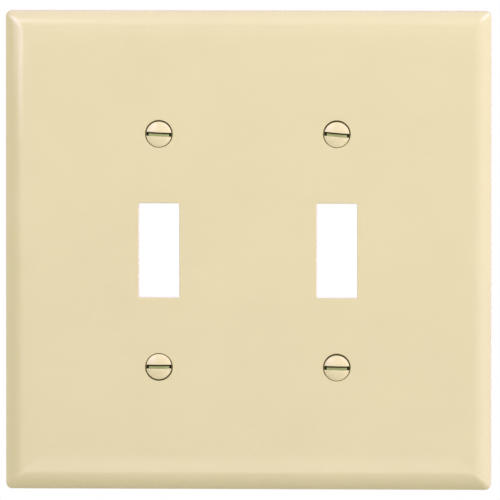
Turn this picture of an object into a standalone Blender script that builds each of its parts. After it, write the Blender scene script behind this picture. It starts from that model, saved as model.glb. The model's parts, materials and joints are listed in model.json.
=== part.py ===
"""Two-gang toggle wall plate with four captive slotted oval-head screws.

Frame: X to the right, Z up, the plate's front faces -Y. The wall is the plane Y = 0, and the origin
is the plate's centre on the wall. Heights in the profiles below are distances in front of the wall.
"""

import math

import bmesh
import bpy
from mathutils import Matrix

MM = 0.001

# Plate outline and shell
PLATE_WIDTH = 125.7 * MM
PLATE_HEIGHT = 124.0 * MM
PLATE_DEPTH = 6.0 * MM
SKIN = 2.3 * MM
RIM_WIDTH = 2.2 * MM
RIM_DRAFT = 0.3 * MM
RIM_HEIGHT = 2.0 * MM
SIDE_DRAFT = 0.10 * MM
CORNER_RADIUS = 1.6 * MM
CORNER_TAPER = 0.27
MITRE_RADIUS = 0.5 * MM
CORNER_SEGMENTS = 4

# Bevel: a straight slope between a small edge radius and a face fillet
BEVEL_ANGLE = math.radians(35)
SLOPE_RUN = 3.1 * MM
FILLET_RUN = 1.25 * MM
EDGE_RADIUS = 0.5 * MM
FILLET_STEPS = 4
EDGE_STEPS = 2

# Openings, screw holes and what stands behind them
GANG_PITCH = 46.0 * MM
SCREW_PITCH = 60.325 * MM
OPENING_WIDTH = 10.5 * MM
OPENING_HEIGHT = 24.4 * MM
COLLAR_WALL = 1.8 * MM
COLLAR_BACK = 1.6 * MM
BOSS_RADIUS = 4.7 * MM
BOSS_BACK = 2.6 * MM
RIB_WIDTH = 1.5 * MM
RIB_BACK = 2.9 * MM
MIDDLE_RIB_RISE = 0.9 * MM
RIB_END_GAP = 1.5 * MM
BORE_RADIUS = 2.1 * MM
SINK_RADIUS = 3.6 * MM
SINK_HALF_ANGLE = math.radians(41)
HOLE_SIDES = 32
CUT_PAST = 1.0 * MM

# Screw: 6-32 UNC, half an inch long from its flush line to its tip
THREAD_RADIUS = 1.75 * MM
THREAD_ROOT_RADIUS = 1.33 * MM
THREAD_PITCH = 0.79375 * MM
SCREW_LENGTH = 12.7 * MM
NECK_LENGTH = 0.7 * MM
TIP_CHAMFER = 0.3 * MM
HEAD_RADIUS = 3.3 * MM
HEAD_CROWN = 0.85 * MM
CROWN_STEPS = 4
SLOT_WIDTH = 1.0 * MM
SLOT_DEPTH = 1.65 * MM
SCREW_SIDES = 18

# Retaining washer
RETAINER_RADIUS = 4.0 * MM
RETAINER_BORE_RADIUS = 2.05 * MM
RETAINER_THICKNESS = 0.8 * MM
RETAINER_CHAMFER = 0.15 * MM
RETAINER_SIDES = 28
RUNNING_GAP = 0.3 * MM
WELD_DISTANCE = 0.001 * MM

# Screw places, each with the angle that its slot leans from level, seen from the front
SCREW_PLACES = {
    "upper_left": (-1, 1, math.radians(1.7)),
    "upper_right": (1, 1, math.radians(5.0)),
    "lower_left": (-1, -1, math.radians(0.0)),
    "lower_right": (1, -1, math.radians(1.0)),
}

IVORY_PLASTIC = (0.80, 0.70, 0.46, 1.0)
IVORY_PAINT = (0.83, 0.75, 0.55, 1.0)
NATURAL_NYLON = (0.78, 0.77, 0.72, 1.0)


def clear_scene():
    for found in list(bpy.data.objects):
        bpy.data.objects.remove(found, do_unlink=True)


def make_material(name, colour, roughness, metallic=0.0):
    material = bpy.data.materials.new(name)
    material.use_nodes = True
    shader = material.node_tree.nodes["Principled BSDF"]
    shader.inputs["Base Color"].default_value = colour
    shader.inputs["Roughness"].default_value = roughness
    shader.inputs["Metallic"].default_value = metallic
    material.diffuse_color = colour
    return material


def object_from(name, bm, material, smooth_angle=None):
    """Make an object of a closed bmesh, with its faces pointing out."""
    bmesh.ops.recalc_face_normals(bm, faces=bm.faces)
    mesh = bpy.data.meshes.new(name)
    bm.to_mesh(mesh)
    bm.free()
    made = bpy.data.objects.new(name, mesh)
    bpy.context.scene.collection.objects.link(made)
    if material:
        mesh.materials.append(material)
    if smooth_angle:
        mesh.shade_smooth()
        mesh.set_sharp_from_angle(angle=smooth_angle)
    return made


def cutter_from(name, bm):
    cutter = object_from(name, bm, None)
    cutter.hide_render = True
    cutter.display_type = "WIRE"
    return cutter


def add_boolean(target, tool, operation):
    modifier = target.modifiers.new(tool.name, "BOOLEAN")
    modifier.operation = operation
    modifier.object = tool
    modifier.solver = "EXACT"


def rounded_rectangle(half_width, half_height, radius):
    """Points of a rounded rectangle in X and Z, counter-clockwise seen from the front."""
    points = []
    corners = [(1, 1, 0), (-1, 1, 90), (-1, -1, 180), (1, -1, 270)]
    for side_x, side_z, start in corners:
        centre_x = side_x * (half_width - radius)
        centre_z = side_z * (half_height - radius)
        for step in range(CORNER_SEGMENTS + 1):
            angle = math.radians(start + 90 * step / CORNER_SEGMENTS)
            points.append((centre_x + radius * math.cos(angle), centre_z + radius * math.sin(angle)))
    return points


def loft(bm, rings):
    """Bridge rings of equally many points, each a list of vertices, with quads."""
    for near, far in zip(rings, rings[1:]):
        count = len(near)
        for index in range(count):
            after = (index + 1) % count
            bm.faces.new((near[index], near[after], far[after], far[index]))


def box_mesh(low, high):
    bm = bmesh.new()
    size = [h - l for l, h in zip(low, high)]
    centre = [(h + l) / 2 for l, h in zip(low, high)]
    place = Matrix.Translation(centre) @ Matrix.Diagonal((*size, 1.0))
    bmesh.ops.create_cube(bm, size=1.0, matrix=place)
    return bm


def turned_mesh(profile, sides, place=Matrix.Identity(4)):
    """Turn a profile of (radius, distance along the axis) about Z. A zero radius closes an end."""
    bm = bmesh.new()
    rings = []
    for radius, along in profile:
        if radius == 0.0:
            rings.append(bm.verts.new((0.0, 0.0, along)))
            continue
        ring = []
        for step in range(sides):
            angle = 2 * math.pi * step / sides
            ring.append(bm.verts.new((radius * math.cos(angle), radius * math.sin(angle), along)))
        rings.append(ring)
    for near, far in zip(rings, rings[1:]):
        if isinstance(near, list) and isinstance(far, list):
            loft(bm, [near, far])
            continue
        ring, tip = (near, far) if isinstance(near, list) else (far, near)
        for index in range(sides):
            bm.faces.new((ring[index], ring[(index + 1) % sides], tip))
    bmesh.ops.transform(bm, matrix=place, verts=bm.verts)
    return bm


def bevel_profile():
    """The outer side as (inset from the outline, height), from the wall to the flat front."""
    fillet_radius = FILLET_RUN / math.sin(BEVEL_ANGLE)
    fillet_rise = fillet_radius * (1 - math.cos(BEVEL_ANGLE))
    slope_rise = SLOPE_RUN * math.tan(BEVEL_ANGLE)
    edge_run = EDGE_RADIUS * (1 - math.sin(BEVEL_ANGLE))
    edge_rise = EDGE_RADIUS * math.cos(BEVEL_ANGLE)
    land_top = PLATE_DEPTH - fillet_rise - slope_rise - edge_rise

    points = [(0.0, 0.0)]
    for step in range(EDGE_STEPS + 1):
        angle = (math.pi / 2 - BEVEL_ANGLE) * step / EDGE_STEPS
        inset = SIDE_DRAFT + EDGE_RADIUS * (1 - math.cos(angle))
        points.append((inset, land_top + EDGE_RADIUS * math.sin(angle)))
    slope_end = SIDE_DRAFT + edge_run + SLOPE_RUN
    for step in range(FILLET_STEPS + 1):
        angle = BEVEL_ANGLE * (1 - step / FILLET_STEPS)
        inset = slope_end + FILLET_RUN - fillet_radius * math.sin(angle)
        points.append((inset, PLATE_DEPTH - fillet_radius * (1 - math.cos(angle))))
    return points


def cavity_profile():
    """The inside of the shell as (inset from the outline, height), from the wall to its ceiling."""
    ceiling = PLATE_DEPTH - SKIN
    rim_inside = RIM_WIDTH + RIM_DRAFT
    slope_run = (ceiling - RIM_HEIGHT) / math.tan(BEVEL_ANGLE)
    return [(RIM_WIDTH, 0.0), (rim_inside, RIM_HEIGHT), (rim_inside + slope_run, ceiling)]


def outline_ring(bm, inset, height):
    """One ring of the shell. Its corners sharpen inwards, from the outline's radius to the mitre's."""
    radius = max(CORNER_RADIUS - CORNER_TAPER * inset, MITRE_RADIUS)
    half_width = PLATE_WIDTH / 2 - inset
    half_height = PLATE_HEIGHT / 2 - inset
    points = rounded_rectangle(half_width, half_height, radius)
    return [bm.verts.new((x, -height, z)) for x, z in points]


def make_shell(material):
    """The open-backed shell: bevelled outside, flat rim on the wall, skin of even thickness."""
    bm = bmesh.new()
    outside = [outline_ring(bm, *point) for point in bevel_profile()]
    inside = [outline_ring(bm, *point) for point in cavity_profile()]
    loft(bm, list(reversed(outside)) + inside)
    bm.faces.new(outside[-1])
    bm.faces.new(inside[-1])
    return object_from("wall_plate", bm, material, math.radians(32))


def gang_centres():
    return (-GANG_PITCH / 2, GANG_PITCH / 2)


def add_collars_and_ribs(plate):
    """A collar round each opening, ribs from it to the bosses, and a long rib between the gangs."""
    ceiling = PLATE_DEPTH - SKIN
    sunk = PLATE_DEPTH - SKIN / 2
    half_wide = OPENING_WIDTH / 2 + COLLAR_WALL
    half_high = OPENING_HEIGHT / 2 + COLLAR_WALL
    for number, x in enumerate(gang_centres()):
        low = (x - half_wide, -sunk, -half_high)
        high = (x + half_wide, -COLLAR_BACK, half_high)
        add_boolean(plate, cutter_from(f"collar_{number}", box_mesh(low, high)), "UNION")
        for side in (-1, 1):
            ends = sorted((side * (half_high - COLLAR_WALL / 2), side * SCREW_PITCH / 2))
            low = (x - RIB_WIDTH / 2, -sunk, ends[0])
            high = (x + RIB_WIDTH / 2, -RIB_BACK, ends[1])
            add_boolean(plate, cutter_from(f"rib_{number}_{side}", box_mesh(low, high)), "UNION")
    rim_reach = PLATE_HEIGHT / 2 - RIM_WIDTH - RIM_DRAFT - RIB_END_GAP
    low = (-RIB_WIDTH / 2, -sunk, -rim_reach)
    high = (RIB_WIDTH / 2, -ceiling + MIDDLE_RIB_RISE, rim_reach)
    add_boolean(plate, cutter_from("middle_rib", box_mesh(low, high)), "UNION")


def facing_front(x, z):
    """A turned shape's axis Z becomes the plate's +Y, from the front face towards the wall."""
    return Matrix.Translation((x, 0.0, z)) @ Matrix.Rotation(math.radians(-90), 4, "X")


def add_bosses_and_holes(plate):
    """A round boss behind each screw, then the countersink and the clearance bore through both."""
    boss = [(0.0, -PLATE_DEPTH + SKIN / 2), (BOSS_RADIUS, -PLATE_DEPTH + SKIN / 2)]
    boss += [(BOSS_RADIUS, -BOSS_BACK), (0.0, -BOSS_BACK)]
    sink_depth = (SINK_RADIUS - BORE_RADIUS) / math.tan(SINK_HALF_ANGLE)
    mouth_radius = SINK_RADIUS + CUT_PAST * math.tan(SINK_HALF_ANGLE)
    hole = [(0.0, -PLATE_DEPTH - CUT_PAST), (mouth_radius, -PLATE_DEPTH - CUT_PAST)]
    hole += [(BORE_RADIUS, -PLATE_DEPTH + sink_depth), (BORE_RADIUS, 0.0), (0.0, 0.0)]
    for name, (side_x, side_z, _) in SCREW_PLACES.items():
        place = facing_front(side_x * GANG_PITCH / 2, side_z * SCREW_PITCH / 2)
        add_boolean(plate, cutter_from(f"{name}_boss", turned_mesh(boss, HOLE_SIDES, place)), "UNION")
        cutter = cutter_from(f"{name}_hole", turned_mesh(hole, HOLE_SIDES, place))
        add_boolean(plate, cutter, "DIFFERENCE")


def cut_toggle_openings(plate):
    for number, x in enumerate(gang_centres()):
        low = (x - OPENING_WIDTH / 2, -PLATE_DEPTH - CUT_PAST, -OPENING_HEIGHT / 2)
        high = (x + OPENING_WIDTH / 2, CUT_PAST, OPENING_HEIGHT / 2)
        add_boolean(plate, cutter_from(f"opening_{number}", box_mesh(low, high)), "DIFFERENCE")


def make_wall_plate():
    plate = make_shell(make_material("ivory_plastic", IVORY_PLASTIC, 0.22))
    add_collars_and_ribs(plate)
    add_bosses_and_holes(plate)
    cut_toggle_openings(plate)
    return plate


def face_of(bm, corners):
    """Add the face of these corners, or none where they fold to a line."""
    distinct = list(dict.fromkeys(corners))
    if len(distinct) > 2:
        bm.faces.new(distinct)


def round_points(bm):
    """A function that gives the vertex at a radius, a distance along Z and a step round the circle.

    It gives the same vertex for the same place, so stretches that share a ring are joined there.
    """
    known = {}

    def point(radius, along, step):
        place = (step % SCREW_SIDES, round(radius / MM, 5), round(along / MM, 5))
        if place not in known:
            angle = 2 * math.pi * step / SCREW_SIDES
            known[place] = bm.verts.new((radius * math.cos(angle), radius * math.sin(angle), along))
        return known[place]

    return point


def add_thread(bm, point, start, end):
    """A right-hand thread along Z, whose rows follow the helix, crest and root in turn.

    Every row is cut off at the two ends, where it takes the root radius and closes to a plain ring.
    """

    def on_thread(row, step):
        along = start + THREAD_PITCH * (row / 2 - 1 + step / SCREW_SIDES)
        crest = row % 2 == 0 and start < along < end
        along = min(max(along, start), end)
        chamfered = THREAD_ROOT_RADIUS - TIP_CHAMFER + (end - along)
        radius = min(THREAD_RADIUS if crest else THREAD_ROOT_RADIUS, chamfered)
        return point(radius, along, step)

    rows = math.ceil(2 * (end - start) / THREAD_PITCH + 2)
    for row in range(rows):
        for step in range(SCREW_SIDES):
            low = [on_thread(row, step), on_thread(row, step + 1)]
            face_of(bm, low + [on_thread(row + 1, step + 1), on_thread(row + 1, step)])


def make_screw_blank(name, material):
    """An oval-head machine screw along Z, with its flush line at Z = 0 and its tip at +Z."""
    cone_end = (HEAD_RADIUS - THREAD_RADIUS) / math.tan(SINK_HALF_ANGLE)
    thread_start = cone_end + NECK_LENGTH
    tip_radius = THREAD_ROOT_RADIUS - TIP_CHAMFER
    crown_radius = (HEAD_RADIUS**2 + HEAD_CROWN**2) / (2 * HEAD_CROWN)
    slot_angle = math.asin(SLOT_WIDTH / 2 / crown_radius)
    crown_angle = math.asin(HEAD_RADIUS / crown_radius)

    rings = []
    for step in range(CROWN_STEPS + 1):
        angle = slot_angle + (crown_angle - slot_angle) * step / CROWN_STEPS
        drop = crown_radius * (1 - math.cos(angle))
        rings.append((crown_radius * math.sin(angle), -HEAD_CROWN + drop))
    rings += [(THREAD_RADIUS, cone_end), (THREAD_ROOT_RADIUS, thread_start)]

    bm = bmesh.new()
    point = round_points(bm)
    steps = range(SCREW_SIDES)
    bm.faces.new([point(*rings[0], step) for step in steps])
    for near, far in zip(rings, rings[1:]):
        for step in steps:
            low = [point(*near, step), point(*near, step + 1)]
            face_of(bm, low + [point(*far, step + 1), point(*far, step)])
    add_thread(bm, point, thread_start, SCREW_LENGTH)
    bm.faces.new([point(tip_radius, SCREW_LENGTH, step) for step in steps])
    return object_from(name, bm, material, math.radians(30))


def cut_slot(screw, axis, lean):
    """The screwdriver slot, straight across the head."""
    reach = HEAD_RADIUS + CUT_PAST
    low = (-reach, -SLOT_WIDTH / 2, -HEAD_CROWN - CUT_PAST)
    high = (reach, SLOT_WIDTH / 2, SLOT_DEPTH - HEAD_CROWN)
    cutter = cutter_from(f"{screw.name}_slot", box_mesh(low, high))
    cutter.parent = axis
    cutter.rotation_euler.z = lean
    add_boolean(screw, cutter, "DIFFERENCE")


def make_retainer(name, material):
    """A flat washer round Z, standing from Z = 0, with its outer corners broken."""
    outer = RETAINER_RADIUS - RETAINER_CHAMFER
    back = RETAINER_THICKNESS - RETAINER_CHAMFER
    profile = [(RETAINER_BORE_RADIUS, 0.0), (outer, 0.0), (RETAINER_RADIUS, RETAINER_CHAMFER)]
    profile += [(RETAINER_RADIUS, back), (outer, RETAINER_THICKNESS)]
    profile += [(RETAINER_BORE_RADIUS, RETAINER_THICKNESS), (RETAINER_BORE_RADIUS, 0.0)]
    bm = turned_mesh(profile, RETAINER_SIDES)
    bmesh.ops.remove_doubles(bm, verts=bm.verts, dist=WELD_DISTANCE)
    return object_from(name, bm, material, math.radians(30))


def make_screws_and_retainers():
    """Each screw and its retainer hang on an empty whose Z axis is the screw's, towards the wall."""
    paint = make_material("ivory_paint", IVORY_PAINT, 0.3)
    nylon = make_material("natural_nylon", NATURAL_NYLON, 0.45)
    for place, (side_x, side_z, lean) in SCREW_PLACES.items():
        axis = bpy.data.objects.new(f"{place}_axis", None)
        bpy.context.scene.collection.objects.link(axis)
        axis.location = (side_x * GANG_PITCH / 2, -PLATE_DEPTH, side_z * SCREW_PITCH / 2)
        axis.rotation_euler.x = math.radians(-90)

        screw = make_screw_blank(f"{place}_screw", paint)
        screw.parent = axis
        screw.rotation_euler.z = lean
        cut_slot(screw, axis, lean)

        retainer = make_retainer(f"{place}_retainer", nylon)
        retainer.parent = axis
        retainer.location.z = PLATE_DEPTH - BOSS_BACK + RUNNING_GAP


clear_scene()
make_wall_plate()
make_screws_and_retainers()
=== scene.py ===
"""The looks of the two-gang toggle wall plate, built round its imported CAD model.

Frame: X to the right, Z up, the front faces -Y, and the wall is the plane Y = 0.
Heights are distances in front of the wall, so a height h lies at Y = -h.
"""

import json
import math
from collections import namedtuple

import bmesh
import bpy
from mathutils import Matrix, Vector


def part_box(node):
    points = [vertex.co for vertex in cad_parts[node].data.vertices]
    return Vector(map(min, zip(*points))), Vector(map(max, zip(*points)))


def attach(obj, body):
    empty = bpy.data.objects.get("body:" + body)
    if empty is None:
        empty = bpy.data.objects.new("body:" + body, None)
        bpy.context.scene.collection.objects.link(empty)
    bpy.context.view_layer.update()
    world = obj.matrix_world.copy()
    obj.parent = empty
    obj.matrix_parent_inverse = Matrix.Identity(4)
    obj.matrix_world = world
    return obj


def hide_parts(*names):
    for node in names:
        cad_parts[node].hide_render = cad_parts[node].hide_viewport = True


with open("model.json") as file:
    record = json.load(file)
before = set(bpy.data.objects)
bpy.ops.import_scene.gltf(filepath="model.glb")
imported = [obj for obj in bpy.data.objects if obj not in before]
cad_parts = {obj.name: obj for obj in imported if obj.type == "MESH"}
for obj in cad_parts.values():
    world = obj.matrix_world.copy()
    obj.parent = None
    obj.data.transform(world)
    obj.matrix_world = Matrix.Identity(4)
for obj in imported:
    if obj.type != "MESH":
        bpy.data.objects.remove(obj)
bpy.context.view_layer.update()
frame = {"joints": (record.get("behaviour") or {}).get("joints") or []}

MM = 0.001

# Plate: sizes that its box doesn't give
SKIN = 2.3 * MM
RIM_WIDTH = 2.2 * MM
RIM_INSIDE = 2.5 * MM
RIM_HEIGHT = 2.0 * MM
RIM_CHAMFER = 0.12 * MM
RIM_FILLET = 0.4 * MM
CEILING_FILLET = 1.0 * MM
SIDE_DRAFT = 0.10 * MM
BACK_CHAMFER = 0.15 * MM
FACE_LAP = 0.6 * MM
CEILING_LAP = 1.5 * MM
CORNER_RADIUS = 1.6 * MM
CORNER_TAPER = 0.27
MITRE_RADIUS = 0.5 * MM
CROWN_ANGLE = math.radians(5)
SLOPE_ANGLES = (math.radians(10), math.radians(46))
INSIDE_ANGLE = math.radians(35)
SLOPE_RUN = 3.95 * MM
FILLET_RUN = 0.6 * MM
CROWN_RUN = 4.3 * MM
EDGE_RADIUS = 0.5 * MM
OPENING_HALF = (5.25 * MM, 12.2 * MM)
OPENING_CORNER = 0.35 * MM
OPENING_EDGE = 0.3 * MM
OPENING_BACK_EDGE = 0.2 * MM
COLLAR_WALL = 1.8 * MM
COLLAR_BACK = 1.6 * MM
COLLAR_CORNER = 0.8 * MM
COLLAR_EDGE = 0.25 * MM
BOSS_RADIUS = 4.7 * MM
BOSS_BACK = 2.6 * MM
BOSS_EDGE = 0.2 * MM
RIB_HALF = 0.75 * MM
RIB_BACK = 2.9 * MM
RIB_CORNER = 0.2 * MM
RIB_EDGE = 0.15 * MM
RIB_FLARE = 0.25 * MM
MIDDLE_RIB_DEPTH = 0.9 * MM
WALL_DRAFT = 0.06 * MM
BORE_RADIUS = 2.1 * MM
SINK_RADIUS = 3.64 * MM
SINK_EDGE = 0.12 * MM
SINK_FOOT = 0.3 * MM
SINK_HALF_ANGLE = math.radians(41)
PIN_RADIUS = 2.2 * MM
PIN_DEPTH = 0.1 * MM
PIN_COLUMNS = (-44.0 * MM, -9.0 * MM, 9.0 * MM, 44.0 * MM)
PIN_ROWS = (-46.0 * MM, 0.0, 46.0 * MM)
LEAST_CORNER = 0.01 * MM

# Screw: 6-32 thread, oval head, local Z from its flush line to its tip
THREAD_RADIUS = 1.75 * MM
ROOT_RADIUS = 1.32 * MM
THREAD_PITCH = 0.79375 * MM
NECK_LENGTH = 0.7 * MM
NECK_RADIUS = 1.45 * MM
TIP_CHAMFER = 0.3 * MM
RUN_IN = 0.7
CROWN_STEPS = 13
HEAD_RADIUS = 3.34 * MM
HEAD_EDGE = 0.1 * MM
SLOT_HALF = 0.5 * MM
SLOT_FLOOR = 0.8 * MM
SLOT_EDGE = 0.11 * MM
SLOT_FILLET = 0.08 * MM
SCREW_SIDES = 48

# Each screw's slot leans by some degrees, and its head lies some millimetres below its hole's centre
SLOT_LEAN = {"upper_left": 2.6, "upper_right": 5.0, "lower_left": 0.0, "lower_right": 1.0}
HANG = {"upper_left": 0.12, "upper_right": 0.15, "lower_left": -0.11, "lower_right": 0.15}

# Retaining washer
LIP_BORE = 1.85 * MM
LIP_RADIUS = 2.7 * MM
LIP_THICKNESS = 0.35 * MM
LIP_EDGE = 0.08 * MM
STEP_EDGE = 0.12 * MM
RING_EDGE = 0.14 * MM
SLIT_WIDTH = 0.35 * MM
SLIT_CLEARANCE = 0.3 * MM
SLITS = 3

# Camera: degrees to the right of straight on and above it, metres away
CAMERA_AZIMUTH = 2.9
CAMERA_ELEVATION = 3.1
CAMERA_DISTANCE = 4.0
CAMERA_REACH = 20.0
SENSOR_WIDTH = 36.0
VIEW_WIDTH = 129.3 * MM
AIM = Vector((0.26 * MM, 0.0, -0.14 * MM))

# Floor
FLOOR_RADIUS = 0.9
FLOOR_DROP = 90.0 * MM

# Room: its brightness to each kind of ray, and the tint of its reflections
ROOM_SEEN = 1.0
ROOM_FILL = 0.935
ROOM_GLOSS = 1.65
LEAST_GLOSS = 0.1
BACK_GLOSS = 1.3
BACK_FADE = (0.0, 0.3)
WHITE = (1.0, 1.0, 1.0, 1.0)
SHEEN_TINT = (1.0, 0.88, 1.03, 1.0)

Panel = namedtuple("Panel", "axis low high at_low at_high")

# What gloss sees besides: each panel adds a smooth step along one axis of the direction
GLOSS_PANELS = (
    Panel("Z", 0.0, 0.1, 0.0, 0.9),  # lighter above the horizon
    Panel("Z", 0.3, 0.7, 0.0, 1.7),  # ceiling
    Panel("X", 0.15, 0.9, 0.0, 2.0),  # right wall
    Panel("X", -0.68, -0.28, -1.6, 0.0),  # dim left wall
    Panel("X", -1.0, -0.93, 0.9, 0.0),  # its lighter far end
    Panel("Z", -0.105, -0.078, 1.7, 0.0),  # bright strip just below the horizon
    Panel("Z", -0.46, -0.19, -2.3, 0.0),  # shade below the strip
    Panel("Z", -0.95, -0.4, -0.8, 0.0),  # darker still straight down
)

# What diffuse surfaces see besides
FILL_PANELS = (
    Panel("X", 0.2, 1.0, 0.0, 0.65),  # right wall
    Panel("X", -1.0, -0.3, 0.5, 0.0),  # left wall
    Panel("Z", 0.2, 1.0, 0.0, -0.72),  # dimmer ceiling
    Panel("Y", -1.0, -0.3, 0.18, 0.0),  # wall in front of the plate
)

Lamp = namedtuple("Lamp", "name azimuth elevation distance size power tint")

# The softbox lights diffuse surfaces only, and the cards are seen by reflections only.
# Angles in degrees as for the camera, distances and sizes in metres, power in watts.
SOFTBOX = Lamp("key_softbox", 17, 20, 0.8, (0.17, 0.17), 1.9, (1.0, 1.0, 1.0))
LEFT_TINT = (0.96, 0.78, 1.35)
RIGHT_TINT = (1.0, 0.62, 1.25)
CARDS = (
    Lamp("right_card", 50, 35, 1.1, (0.75, 0.40), 5.0, RIGHT_TINT),
    Lamp("left_card", -48, 30, 1.1, (0.60, 0.18), 2.6, LEFT_TINT),
    Lamp("left_strip_card", -34, 28, 0.33, (0.13, 0.295), 0.46, LEFT_TINT),
    Lamp("left_end_card", -53.5, 13.5, 0.354, (0.11, 0.085), 0.10, LEFT_TINT),
)

# Slots of the plate's materials, and the screw's second one; the plate's third holds painted shade in the
# screw holes, the screw's second a painted shadow in its slot
GLOSS, BACK, SINK_SHADE = 0, 1, 2
SLOT_WEAR_AND_SHADOW = 1

# Turns a piece built along its own Z so that it points into the wall
INTO_WALL = Matrix.Rotation(math.radians(-90), 4, "X")


def filleted(corners, steps=5):
    """An outline through (a, b, radius) corners, each rounded by an arc of its radius."""
    points = []
    for index, (a, b, radius) in enumerate(corners):
        here = Vector((a, b))
        if radius == 0.0 or index in (0, len(corners) - 1):
            points.append(here)
            continue
        back = (Vector(corners[index - 1][:2]) - here).normalized()
        ahead = (Vector(corners[index + 1][:2]) - here).normalized()
        half_angle = back.angle(ahead) / 2
        centre = here + (back + ahead).normalized() * radius / math.sin(half_angle)
        start = here + back * radius / math.tan(half_angle) - centre
        end = here + ahead * radius / math.tan(half_angle) - centre
        sweep = start.angle_signed(end)
        for step in range(steps + 1):
            points.append(centre + Matrix.Rotation(-sweep * step / steps, 2) @ start)
    return points


def rounded_rectangle(half_width, half_height, radius, segments):
    """Points of a rounded rectangle in X and Z, counter-clockwise seen from the front."""
    points = []
    for side_x, side_z, start in ((1, 1, 0), (-1, 1, 90), (-1, -1, 180), (1, -1, 270)):
        for step in range(segments + 1):
            angle = math.radians(start + 90 * step / segments)
            x = side_x * (half_width - radius) + radius * math.cos(angle)
            z = side_z * (half_height - radius) + radius * math.sin(angle)
            points.append((x, z))
    return points


def add_loft(bm, rings, material_index=GLOSS, closed=False):
    """Join rings of equally many vertices with quads, and cap both ends unless it closes on itself."""
    made = []
    pairs = list(zip(rings, rings[1:]))
    if closed:
        pairs.append((rings[-1], rings[0]))
    else:
        made += [bm.faces.new(rings[0]), bm.faces.new(rings[-1])]
    for near, far in pairs:
        for index in range(len(near)):
            after = (index + 1) % len(near)
            made.append(bm.faces.new((near[index], near[after], far[after], far[index])))
    for face in made:
        face.material_index = material_index
    return made


def add_block(bm, centre, half_size, corner, profile, segments=6, material_index=GLOSS):
    """A rounded block in the plate's plane, with (outset, height) rings from one end to the other."""
    rings = []
    for outset, height in profile:
        radius = max(corner + outset, LEAST_CORNER)
        outline = rounded_rectangle(half_size[0] + outset, half_size[1] + outset, radius, segments)
        rings.append([bm.verts.new((centre[0] + x, -height, centre[1] + z)) for x, z in outline])
    return add_loft(bm, rings, material_index)


def object_from(name, bm, materials):
    bmesh.ops.recalc_face_normals(bm, faces=bm.faces)
    mesh = bpy.data.meshes.new(name)
    bm.to_mesh(mesh)
    bm.free()
    for material in materials:
        mesh.materials.append(material)
    made = bpy.data.objects.new(name, mesh)
    bpy.context.scene.collection.objects.link(made)
    return made


def carve(target, tool_bm, operation):
    """Join a tool's shape to the target's mesh, or cut it away, and drop the tool."""
    tool = object_from("tool", tool_bm, target.data.materials)
    modifier = target.modifiers.new("carve", "BOOLEAN")
    modifier.operation = operation
    modifier.object = tool
    modifier.solver = "EXACT"
    evaluated = target.evaluated_get(bpy.context.evaluated_depsgraph_get())
    old = target.data
    target.data = bpy.data.meshes.new_from_object(evaluated)
    target.modifiers.clear()
    bpy.data.meshes.remove(old)
    bpy.data.objects.remove(tool)


def shade(made, angle):
    """Smooth shading, with sharp edges past the angle and normals that keep flat faces flat."""
    made.data.shade_smooth()
    made.data.set_sharp_from_angle(angle=math.radians(angle))
    weighted = made.modifiers.new("weighted_normals", "WEIGHTED_NORMAL")
    weighted.keep_sharp = True
    weighted.weight = 100


# ---- Materials ----


class Graph:
    """Short ways to add shader nodes to a tree. A node's input is another's socket, or a plain value."""

    def __init__(self, tree, coordinates):
        self.tree = tree
        self.coords = tree.nodes.new("ShaderNodeTexCoord").outputs[coordinates]

    def link(self, source, target):
        if isinstance(source, bpy.types.NodeSocket):
            self.tree.links.new(source, target)
        else:
            target.default_value = source

    def noise(self, scale, detail=2.0, stretch=(1.0, 1.0, 1.0)):
        mapping = self.tree.nodes.new("ShaderNodeMapping")
        mapping.inputs["Scale"].default_value = stretch
        self.link(self.coords, mapping.inputs["Vector"])
        noise = self.tree.nodes.new("ShaderNodeTexNoise")
        noise.inputs["Scale"].default_value = scale
        noise.inputs["Detail"].default_value = detail
        self.link(mapping.outputs["Vector"], noise.inputs["Vector"])
        return noise.outputs["Fac"]

    def math(self, operation, first, second):
        node = self.tree.nodes.new("ShaderNodeMath")
        node.operation = operation
        self.link(first, node.inputs[0])
        self.link(second, node.inputs[1])
        return node.outputs[0]

    def ramp(self, value, low, high, out_low=0.0, out_high=1.0):
        """A smooth step of a value between two limits."""
        node = self.tree.nodes.new("ShaderNodeMapRange")
        node.interpolation_type = "SMOOTHSTEP"
        self.link(value, node.inputs["Value"])
        limits = {"From Min": low, "From Max": high, "To Min": out_low, "To Max": out_high}
        for socket, limit in limits.items():
            node.inputs[socket].default_value = limit
        return node.outputs["Result"]

    def mix(self, factor, first, second):
        node = self.tree.nodes.new("ShaderNodeMix")
        node.data_type = "RGBA"
        self.link(factor, node.inputs["Factor"])
        self.link(first, node.inputs["A"])
        self.link(second, node.inputs["B"])
        return node.outputs["Result"]

    def axis(self, letter):
        node = self.tree.nodes.new("ShaderNodeSeparateXYZ")
        self.link(self.coords, node.inputs[0])
        return node.outputs[letter]


class Finish(Graph):
    """A Principled material under construction."""

    def __init__(self, name, roughness):
        self.material = bpy.data.materials.new(name)
        self.material.use_nodes = True
        super().__init__(self.material.node_tree, "Object")
        self.shader = self.tree.nodes["Principled BSDF"]
        self.shader.inputs["Roughness"].default_value = roughness

    def set(self, name, value):
        self.link(value, self.shader.inputs[name])

    def bump(self, height, distance):
        node = self.tree.nodes.new("ShaderNodeBump")
        node.inputs["Distance"].default_value = distance
        self.link(height, node.inputs["Height"])
        self.set("Normal", node.outputs["Normal"])


def colour(red, green, blue):
    return (red, green, blue, 1.0)


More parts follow.
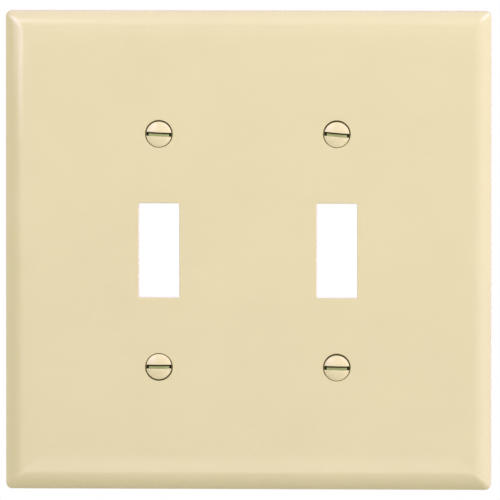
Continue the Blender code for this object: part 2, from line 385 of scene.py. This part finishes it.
def ivory_gloss():
    """Moulded thermoset, polished on the front: faint mottling, orange peel and wiping marks."""
    finish = Finish("ivory_gloss", roughness=0.2)
    cloud = finish.ramp(finish.noise(45.0, 3.0), 0.3, 0.7)
    speckle = finish.ramp(finish.noise(2200.0, 1.0), 0.35, 0.65)
    base = finish.mix(cloud, colour(0.628, 0.545, 0.322), colour(0.644, 0.559, 0.331))
    base = finish.mix(finish.math("MULTIPLY", speckle, 0.25), base, colour(0.665, 0.577, 0.344))
    finish.set("Base Color", base)
    wiped = finish.noise(110.0, 4.0, (1.0, 1.0, 6.0))
    finish.set("Roughness", finish.ramp(wiped, 0.3, 0.75, 0.12, 0.2))
    peel = finish.math("MULTIPLY", finish.noise(260.0, 2.0), 0.6)
    waves = finish.math("ADD", peel, finish.noise(38.0, 1.0))
    finish.bump(waves, 0.02 * MM)
    return finish.material


def ivory_back():
    """The mould's plain side: duller, with flow streaks and a fine tooled texture."""
    finish = Finish("ivory_back", roughness=0.5)
    streaks = finish.ramp(finish.noise(70.0, 4.0, (1.0, 1.0, 0.25)), 0.3, 0.7)
    base = finish.mix(streaks, colour(0.58, 0.50, 0.293), colour(0.635, 0.552, 0.328))
    finish.set("Base Color", base)
    grain = finish.noise(1800.0, 3.0)
    finish.set("Roughness", finish.ramp(grain, 0.3, 0.7, 0.42, 0.6))
    finish.bump(grain, 0.03 * MM)
    return finish.material


def countersink_painted_shade():
    """The plate's plastic down in a screw hole, with painted shade: dark olive just below the face, going
    near-black deeper down.
    """
    finish = Finish("countersink_painted_shade", roughness=0.7)
    blotches = finish.ramp(finish.noise(1500.0, 4.0), 0.3, 0.7)
    # Painted shade: plate colour at the face, dark olive from just below it, near-black deeper in the
    # hole.
    below = finish.ramp(finish.axis("Y"), 0.03 * MM - DEPTH, 0.14 * MM - DEPTH)
    deep = finish.ramp(finish.axis("Y"), 0.2 * MM - DEPTH, 0.9 * MM - DEPTH)
    painted_shade = finish.mix(blotches, colour(0.09, 0.085, 0.03), colour(0.14, 0.13, 0.05))
    base = finish.mix(below, colour(0.63, 0.55, 0.325), painted_shade)
    finish.set("Base Color", finish.mix(deep, base, colour(0.005, 0.005, 0.003)))
    finish.set("Specular IOR Level", 0.15)
    finish.set("Roughness", finish.ramp(blotches, 0.0, 1.0, 0.6, 0.85))
    finish.bump(blotches, 0.02 * MM)
    return finish.material


def screw_paint():
    """Ivory paint on the head that thins out down the cone, over a bright zinc thread, with painted shade
    on the cone just under the rim.
    """
    finish = Finish("screw_paint", roughness=0.35)
    along = finish.axis("Z")
    ragged = finish.math("MULTIPLY", finish.noise(1500.0, 3.0), 0.5 * MM)
    edge = finish.math("ADD", along, ragged)
    bare = finish.ramp(edge, 0.9 * MM, 1.3 * MM)
    dabs = finish.ramp(finish.noise(900.0, 2.0), 0.35, 0.65)
    paint = finish.mix(dabs, colour(0.660, 0.570, 0.345), colour(0.695, 0.600, 0.363))
    # Painted shade: the paint turns dark olive on the cone just under the rim, down in the countersink's
    # gap.
    paint = finish.mix(finish.ramp(along, 0.05 * MM, 0.25 * MM), paint, colour(0.12, 0.115, 0.05))
    worn = finish.ramp(finish.noise(600.0, 4.0), 0.3, 0.7)
    zinc = finish.mix(worn, colour(0.50, 0.52, 0.53), colour(0.66, 0.67, 0.66))
    finish.set("Base Color", finish.mix(bare, paint, zinc))
    finish.set("Metallic", bare)
    finish.set("Specular IOR Level", 0.45)
    finish.set("Roughness", finish.ramp(finish.noise(1200.0, 3.0), 0.3, 0.7, 0.32, 0.40))
    finish.bump(finish.noise(1400.0, 2.0), 0.01 * MM)
    return finish.material


def slot_wear_and_shadow():
    """Paint worn thin in the slot, greenish below, with a painted shadow in dark brown along the upper
    wall.
    """
    finish = Finish("slot_wear_and_shadow", roughness=0.7)
    finish.set("Specular IOR Level", 0.2)
    specks = finish.ramp(finish.noise(1800.0, 3.0), 0.3, 0.7)
    ragged = finish.math("MULTIPLY", finish.noise(900.0, 2.0), 0.1 * MM)
    # Painted shadow: dark brown on the slot's upper side (local -Y, up in the frame), worn greenish paint
    # below it.
    shadow_side = finish.ramp(finish.math("ADD", finish.axis("Y"), ragged), -0.12 * MM, 0.1 * MM)
    worn = finish.mix(specks, colour(0.42, 0.46, 0.21), colour(0.50, 0.54, 0.26))
    floor = finish.mix(shadow_side, colour(0.03, 0.018, 0.010), worn)
    deep = finish.ramp(finish.axis("Z"), -0.3 * MM, 0.3 * MM)
    finish.set("Base Color", finish.mix(deep, colour(0.68, 0.59, 0.40), floor))
    finish.set("Roughness", finish.ramp(specks, 0.0, 1.0, 0.6, 0.8))
    finish.bump(specks, 0.01 * MM)
    return finish.material


def natural_nylon():
    """Unpigmented nylon, milky, with a satin moulded skin."""
    finish = Finish("natural_nylon", roughness=0.4)
    cloud = finish.ramp(finish.noise(500.0, 3.0), 0.3, 0.7)
    finish.set("Base Color", finish.mix(cloud, colour(0.70, 0.69, 0.62), colour(0.78, 0.77, 0.71)))
    grain = finish.noise(2600.0, 2.0)
    finish.set("Roughness", finish.ramp(grain, 0.3, 0.7, 0.34, 0.48))
    finish.bump(grain, 0.01 * MM)
    return finish.material


def floor_paper():
    finish = Finish("floor_paper", roughness=0.8)
    finish.set("Base Color", colour(0.80, 0.80, 0.80))
    finish.set("Specular IOR Level", 0.0)
    return finish.material


# ---- Plate ----

plate_low, plate_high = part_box("wall_plate")
DEPTH = -plate_low.y
HALF_PLATE = ((plate_high.x - plate_low.x) / 2, (plate_high.z - plate_low.z) / 2)
CEILING = DEPTH - SKIN
SUNK = DEPTH - SKIN / 2
PAST = 1.0 * MM
NOTCH = 0.005 * MM

turns = {joint["name"]: joint for joint in frame["joints"]}
SCREW_AXES = {place: Vector(turns[f"{place}_screw_turn"]["pos_m"]) for place in SLOT_LEAN}
GANGS = sorted({round(axis.x, 6) for axis in SCREW_AXES.values()})
SCREW_ROWS = sorted({round(axis.z, 6) for axis in SCREW_AXES.values()})


def outside_profile():
    """The outer side as (outset, height): arcs that steepen from the flat face out to the edge."""
    edge_run = EDGE_RADIUS * (1 - math.sin(SLOPE_ANGLES[1]))
    bends = [(0.0, CROWN_ANGLE, CROWN_RUN, 8), (CROWN_ANGLE, SLOPE_ANGLES[0], FILLET_RUN, 4)]
    bends += [(*SLOPE_ANGLES, SLOPE_RUN, 16), (SLOPE_ANGLES[1], math.pi / 2, edge_run, 5)]
    outset, height = -SIDE_DRAFT - sum(run for _, _, run, _ in bends), DEPTH
    points = [(outset - FACE_LAP, height), (outset, height)]
    for start, end, run, steps in bends:
        radius = run / (math.sin(end) - math.sin(start))
        for step in range(1, steps + 1):
            angle = start + (end - start) * step / steps
            out = radius * (math.sin(angle) - math.sin(start))
            down = radius * (math.cos(start) - math.cos(angle))
            points.append((outset + out, height - down))
        outset, height = points[-1]
    return points + [(0.0, BACK_CHAMFER), (-BACK_CHAMFER, 0.0)]


def inside_profile():
    """The inside of the shell as (outset, height), from the rim's land to the ceiling."""
    slope_run = (CEILING - RIM_HEIGHT) / math.tan(INSIDE_ANGLE)
    reach = RIM_INSIDE + slope_run
    corners = [(-RIM_WIDTH, 0.0, 0.0), (-RIM_WIDTH - RIM_CHAMFER, RIM_CHAMFER, 0.0)]
    corners += [(-RIM_INSIDE, RIM_HEIGHT, RIM_FILLET), (-reach, CEILING, CEILING_FILLET)]
    corners += [(-reach - CEILING_LAP, CEILING, 0.0)]
    return filleted(corners)


def shell_bmesh():
    bm = bmesh.new()
    rings = []
    for outset, height in outside_profile() + inside_profile():
        radius = max(CORNER_RADIUS + CORNER_TAPER * outset, MITRE_RADIUS)
        half_width, half_height = HALF_PLATE[0] + outset, HALF_PLATE[1] + outset
        outline = rounded_rectangle(half_width, half_height, radius, 12)
        rings.append([bm.verts.new((x, -height, z)) for x, z in outline])
    add_loft(bm, rings)
    for face in bm.faces:
        centre = face.calc_center_median()
        inside = abs(centre.x) < HALF_PLATE[0] - RIM_WIDTH and abs(centre.z) < HALF_PLATE[1] - RIM_WIDTH
        if inside and -centre.y < CEILING + 0.01 * MM:
            face.material_index = BACK
    return bm


def standing_profile(back, edge, flare=0.4 * MM):
    """What stands behind the ceiling: a flared foot, a wall with draft and a rounded back edge."""
    foot = [(1.0 * MM, SUNK, 0.0), (1.0 * MM, CEILING + 0.04 * MM, 0.0)]
    wall = [(0.0, CEILING - 0.02 * MM, flare), (-WALL_DRAFT, back, edge)]
    wall += [(-WALL_DRAFT - 2 * edge, back, 0.0)]
    return filleted(foot + wall, steps=4)


def add_collars_bosses_and_ribs(plate):
    bm = bmesh.new()
    collar_half = [half + COLLAR_WALL for half in OPENING_HALF]
    for x in GANGS:
        profile = standing_profile(COLLAR_BACK, COLLAR_EDGE)
        add_block(bm, (x, 0.0), collar_half, COLLAR_CORNER, profile, material_index=BACK)
    carve(plate, bm, "UNION")

    bm = bmesh.new()
    for axis in SCREW_AXES.values():
        profile = standing_profile(BOSS_BACK, BOSS_EDGE)
        half = (BOSS_RADIUS, BOSS_RADIUS)
        add_block(bm, (axis.x, axis.z), half, BOSS_RADIUS, profile, segments=20, material_index=BACK)
    carve(plate, bm, "UNION")

    bm = bmesh.new()
    rib_profile = standing_profile(RIB_BACK, RIB_EDGE, RIB_FLARE)
    for x in GANGS:
        for row in SCREW_ROWS:
            side = math.copysign(1.0, row)
            near, far = OPENING_HALF[1] + COLLAR_WALL / 2, abs(row) - BORE_RADIUS
            half = (RIB_HALF, (far - near) / 2)
            centre = (x, side * (near + far) / 2)
            add_block(bm, centre, half, RIB_CORNER, rib_profile, material_index=BACK)
    rib_reach = HALF_PLATE[1] - RIM_INSIDE - CEILING_LAP
    middle = standing_profile(CEILING - MIDDLE_RIB_DEPTH, RIB_EDGE, RIB_FLARE)
    add_block(bm, (0.0, 0.0), (RIB_HALF, rib_reach), RIB_CORNER, middle, material_index=BACK)
    carve(plate, bm, "UNION")


def mark_ejector_pins(plate):
    """Shallow round witness marks where the mould's ejector pins pushed."""
    bm = bmesh.new()
    half = (PIN_RADIUS, PIN_RADIUS)
    profile = [(0.0, CEILING - PAST), (0.0, CEILING + PIN_DEPTH)]
    for x in PIN_COLUMNS:
        for z in PIN_ROWS:
            add_block(bm, (x, z), half, PIN_RADIUS, profile, segments=10, material_index=BACK)
    carve(plate, bm, "DIFFERENCE")


def cut_holes(plate):
    """Countersunk screw holes and toggle openings, each with rounded edges back and front."""
    bm = bmesh.new()
    sink_outset = SINK_RADIUS - BORE_RADIUS
    sink_end = DEPTH - sink_outset / math.tan(SINK_HALF_ANGLE)
    corners = [(sink_outset + PAST, DEPTH + PAST, 0.0), (sink_outset + PAST, DEPTH + NOTCH, 0.0)]
    corners += [(sink_outset, DEPTH, SINK_EDGE), (0.0, sink_end, SINK_FOOT)]
    corners += [(0.0, BOSS_BACK, SINK_EDGE), (PAST, BOSS_BACK - NOTCH, 0.0)]
    corners += [(PAST, BOSS_BACK - PAST, 0.0)]
    # The screw holes' faces take the countersink material with its painted shade.
    for axis in SCREW_AXES.values():
        half = (BORE_RADIUS, BORE_RADIUS)
        profile = filleted(corners)
        add_block(bm, (axis.x, axis.z), half, BORE_RADIUS, profile, segments=24, material_index=SINK_SHADE)

    corners = [(PAST, DEPTH + PAST, 0.0), (PAST, DEPTH + NOTCH, 0.0), (0.0, DEPTH, OPENING_EDGE)]
    corners += [(0.0, COLLAR_BACK, OPENING_BACK_EDGE), (PAST, COLLAR_BACK - NOTCH, 0.0)]
    corners += [(PAST, COLLAR_BACK - PAST, 0.0)]
    for x in GANGS:
        add_block(bm, (x, 0.0), OPENING_HALF, OPENING_CORNER, filleted(corners))
    carve(plate, bm, "DIFFERENCE")


def make_plate(materials):
    plate = object_from("wall_plate_body", shell_bmesh(), materials)
    add_collars_bosses_and_ribs(plate)
    mark_ejector_pins(plate)
    cut_holes(plate)
    shade(plate, 30)
    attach(plate, "wall_plate")
    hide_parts("wall_plate")


# ---- Screws ----


def add_thread(bm, start, end, low_ring, high_ring):
    """A right-hand 60 degree thread along Z, joined to a ring at each end.

    Each row follows the helix. A row's part that lies past an end is that end's ring itself.
    """
    shape = ((0.0, ROOT_RADIUS), (0.25, ROOT_RADIUS), (0.5625, THREAD_RADIUS), (0.6875, THREAD_RADIUS))
    known = {}

    def at(row, step):
        row += len(shape) * (step // SCREW_SIDES)
        step %= SCREW_SIDES
        part, radius = shape[row % len(shape)]
        along = start + THREAD_PITCH * (row // len(shape) - 1 + part + step / SCREW_SIDES)
        if along <= start:
            return low_ring[step]
        if along >= end:
            return high_ring[step]
        if (row, step) not in known:
            run_in = min(1.0, (along - start) / (RUN_IN * THREAD_PITCH))
            radius = ROOT_RADIUS + (radius - ROOT_RADIUS) * run_in
            radius = min(radius, ROOT_RADIUS - TIP_CHAMFER + (end - along))
            angle = 2 * math.pi * step / SCREW_SIDES
            known[row, step] = bm.verts.new((radius * math.cos(angle), radius * math.sin(angle), along))
        return known[row, step]

    rows = len(shape) * math.ceil((end - start) / THREAD_PITCH + 1)
    for row in range(rows):
        for step in range(SCREW_SIDES):
            corners = [at(row, step), at(row, step + 1), at(row + 1, step + 1), at(row + 1, step)]
            distinct = list(dict.fromkeys(corners))
            if len(distinct) > 2:
                bm.faces.new(distinct)


def turned_ring(bm, radius, along):
    steps = range(SCREW_SIDES)
    angles = [2 * math.pi * step / SCREW_SIDES for step in steps]
    return [bm.verts.new((radius * math.cos(a), radius * math.sin(a), along)) for a in angles]


def screw_bmesh(crown, length):
    """The screw before its slot is cut: domed crown, cone, neck, thread and chamfered tip."""
    crown_radius = (HEAD_RADIUS**2 + crown**2) / (2 * crown)
    crown_angle = math.asin(HEAD_RADIUS / crown_radius)
    cone_end = (HEAD_RADIUS - THREAD_RADIUS) / math.tan(SINK_HALF_ANGLE)
    thread_start = cone_end + NECK_LENGTH

    dome = []
    for step in range(1, CROWN_STEPS):
        angle = crown_angle * step / CROWN_STEPS
        dome.append((crown_radius * math.sin(angle), crown_radius * (1 - math.cos(angle)) - crown, 0.0))
    corners = dome + [(HEAD_RADIUS, 0.0, HEAD_EDGE), (THREAD_RADIUS, cone_end, 0.25 * MM)]
    corners += [(NECK_RADIUS, cone_end + 0.2 * MM, 0.1 * MM), (NECK_RADIUS, thread_start - 0.05 * MM, 0.0)]
    corners += [(ROOT_RADIUS, thread_start, 0.0)]

    bm = bmesh.new()
    rings = [turned_ring(bm, *point) for point in filleted(corners)]
    for face in add_loft(bm, rings):
        if len(face.verts) > 4 and face.calc_center_median().z > 0:
            bm.faces.remove(face)
    tip = turned_ring(bm, ROOT_RADIUS - TIP_CHAMFER, length)
    add_thread(bm, thread_start, length, rings[-1], tip)
    bm.faces.new(tip)
    return bm


def slot_bmesh(crown):
    """The screwdriver slot's cutter, with a small radius where the floor meets its walls."""
    bm = bmesh.new()
    reach = HEAD_RADIUS + PAST
    half, top = SLOT_HALF, -crown - PAST
    outline = [(-half, top, 0.0), (-half, SLOT_FLOOR, SLOT_FILLET)]
    outline += [(half, SLOT_FLOOR, SLOT_FILLET), (half, top, 0.0)]
    ends = []
    for x in (-reach, reach):
        ends.append([bm.verts.new((x, y, z)) for y, z in filleted(outline, steps=3)])
    # The slot's faces take the slot material with its painted shadow.
    add_loft(bm, ends, material_index=SLOT_WEAR_AND_SHADOW)
    return bm


def soften_slot(screw):
    """Round the long edges where the slot breaks through the crown."""
    bm = bmesh.new()
    bm.from_mesh(screw.data)
    rim = []
    for edge in bm.edges:
        if len(edge.link_faces) != 2 or edge.calc_face_angle() < math.radians(45):
            continue
        on_wall = all(abs(abs(vert.co.y) - SLOT_HALF) < 0.01 * MM for vert in edge.verts)
        on_crown = all(vert.co.z < -0.02 * MM for vert in edge.verts)
        if on_wall and on_crown:
            rim.append(edge)
    bmesh.ops.bevel(bm, geom=rim, offset=SLOT_EDGE, segments=3, profile=0.5, affect="EDGES")
    bm.to_mesh(screw.data)
    bm.free()


def make_screw(place, materials):
    low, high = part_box(f"{place}_screw")
    axis = SCREW_AXES[place]
    flush = axis.y
    crown, length = flush - low.y, high.y - flush
    screw = object_from(f"{place}_screw_body", screw_bmesh(crown, length), materials)
    carve(screw, slot_bmesh(crown), "DIFFERENCE")
    soften_slot(screw)
    shade(screw, 28)
    lean = Matrix.Rotation(math.radians(SLOT_LEAN[place]), 4, "Z")
    hang = Vector((0.0, 0.0, -HANG[place] * MM))
    screw.matrix_world = Matrix.Translation(axis + hang) @ INTO_WALL @ lean
    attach(screw, f"{place}_screw")
    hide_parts(f"{place}_screw")


# ---- Retaining washers ----


def retainer_bmesh(radius, thickness):
    """A washer along Z: a full-thickness outer ring and a thin inner lip that grips the thread."""
    corners = [(LIP_RADIUS, LIP_THICKNESS, STEP_EDGE), (LIP_BORE, LIP_THICKNESS, LIP_EDGE)]
    corners += [(LIP_BORE, 0.0, LIP_EDGE), (radius, 0.0, RING_EDGE), (radius, thickness, RING_EDGE)]
    corners += [(LIP_RADIUS + 0.1 * MM, thickness, RING_EDGE)]
    around = [corners[-1]] + corners + [corners[0]]
    bm = bmesh.new()
    rings = [turned_ring(bm, *point) for point in filleted(around, steps=3)[1:-1]]
    add_loft(bm, rings, closed=True)
    return bm


def make_retainer(place, nylon):
    low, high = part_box(f"{place}_retainer")
    axis = SCREW_AXES[place]
    radius, thickness = (high.z - low.z) / 2, high.y - low.y
    retainer = object_from(f"{place}_retainer_body", retainer_bmesh(radius, thickness), [nylon])
    for index in range(SLITS):
        bm = bmesh.new()
        size = (2 * LIP_RADIUS - SLIT_CLEARANCE, SLIT_WIDTH, 4 * thickness)
        turn = Matrix.Rotation(math.pi * index / SLITS, 4, "Z")
        bmesh.ops.create_cube(bm, size=1.0, matrix=turn @ Matrix.Diagonal((*size, 1.0)))
        carve(retainer, bm, "DIFFERENCE")
    shade(retainer, 30)
    retainer.matrix_world = Matrix.Translation((axis.x, low.y, axis.z)) @ INTO_WALL
    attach(retainer, f"{place}_retainer")
    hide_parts(f"{place}_retainer")


# ---- Stage, lights and camera ----


def direction(azimuth, elevation):
    """Unit vector from the plate towards a place in front of it, azimuth to the right."""
    a, e = math.radians(azimuth), math.radians(elevation)
    return Vector((math.sin(a) * math.cos(e), -math.cos(a) * math.cos(e), math.sin(e)))


def look_from(thing, towards, distance, aim):
    thing.location = aim + towards * distance
    thing.rotation_mode = "QUATERNION"
    thing.rotation_quaternion = towards.to_track_quat("Z", "Y")


def make_floor():
    """A pale round floor, left out of reflections, where the room stands in for it."""
    bm = bmesh.new()
    bmesh.ops.create_circle(bm, cap_ends=True, segments=96, radius=FLOOR_RADIUS)
    bmesh.ops.translate(bm, vec=(0.0, 0.0, plate_low.z - FLOOR_DROP), verts=bm.verts)
    floor = object_from("floor", bm, [floor_paper()])
    floor.visible_glossy = False


class World(Graph):
    """The studio room, as a world's shader under construction."""

    def __init__(self, name):
        self.world = bpy.data.worlds.new(name)
        self.world.use_nodes = True
        super().__init__(self.world.node_tree, "Generated")
        self.rays = self.tree.nodes.new("ShaderNodeLightPath").outputs
        self.axes = {letter: self.axis(letter) for letter in "XYZ"}
        self.output = self.tree.nodes["World Output"].inputs["Surface"]
        self.tree.nodes.remove(self.tree.nodes["Background"])

    def background(self, tint, strength):
        node = self.tree.nodes.new("ShaderNodeBackground")
        self.link(tint, node.inputs["Color"])
        self.link(strength, node.inputs["Strength"])
        return node.outputs["Background"]

    def total(self, base, panels):
        """The base value plus every panel's step, each along its axis of the direction."""
        for panel in panels:
            step = self.ramp(self.axes[panel.axis], *panel[1:])
            base = self.math("ADD", base, step)
        return base

    def choose(self, factor, yes, no):
        node = self.tree.nodes.new("ShaderNodeMixShader")
        self.link(factor, node.inputs["Fac"])
        self.link(no, node.inputs[1])
        self.link(yes, node.inputs[2])
        return node.outputs["Shader"]


def make_world():
    """A white room to the camera, a soft fill to diffuse rays, and a room with panels to glossy ones."""
    room = World("studio_white")
    fill = room.background(WHITE, room.total(ROOM_FILL, FILL_PANELS))
    front = room.math("MAXIMUM", room.total(ROOM_GLOSS, GLOSS_PANELS), LEAST_GLOSS)
    back = room.background(SHEEN_TINT, BACK_GLOSS)
    behind = room.ramp(room.axes["Y"], *BACK_FADE)
    gloss = room.choose(behind, back, room.background(SHEEN_TINT, front))
    light = room.choose(room.rays["Is Glossy Ray"], gloss, fill)
    light = room.choose(room.rays["Is Camera Ray"], room.background(WHITE, ROOM_SEEN), light)
    room.link(light, room.output)
    bpy.context.scene.world = room.world


def make_lamp(lamp):
    """An area light that faces the plate's centre and isn't seen by the camera."""
    light = bpy.data.lights.new(lamp.name, "AREA")
    light.shape = "RECTANGLE"
    light.size, light.size_y = lamp.size
    light.energy = lamp.power
    light.color = lamp.tint
    made = bpy.data.objects.new(lamp.name, light)
    bpy.context.scene.collection.objects.link(made)
    look_from(made, direction(lamp.azimuth, lamp.elevation), lamp.distance, Vector())
    made.visible_camera = False
    return made


def make_camera():
    camera = bpy.data.cameras.new("camera")
    camera.sensor_width = SENSOR_WIDTH
    camera.lens = SENSOR_WIDTH * CAMERA_DISTANCE / VIEW_WIDTH
    camera.clip_end = CAMERA_REACH
    eye = bpy.data.objects.new("camera", camera)
    bpy.context.scene.collection.objects.link(eye)
    look_from(eye, direction(CAMERA_AZIMUTH, CAMERA_ELEVATION), CAMERA_DISTANCE, AIM)
    bpy.context.scene.camera = eye


make_camera()
make_world()
make_floor()
make_lamp(SOFTBOX).visible_glossy = False
for card in CARDS:
    make_lamp(card).visible_diffuse = False
bpy.context.scene.view_settings.view_transform = "Standard"

# The plate's third material and the screws' second carry painted shade and a painted shadow.
make_plate([ivory_gloss(), ivory_back(), countersink_painted_shade()])
screw_materials, nylon = [screw_paint(), slot_wear_and_shadow()], natural_nylon()
for place in SLOT_LEAN:
    make_screw(place, screw_materials)
    make_retainer(place, nylon)
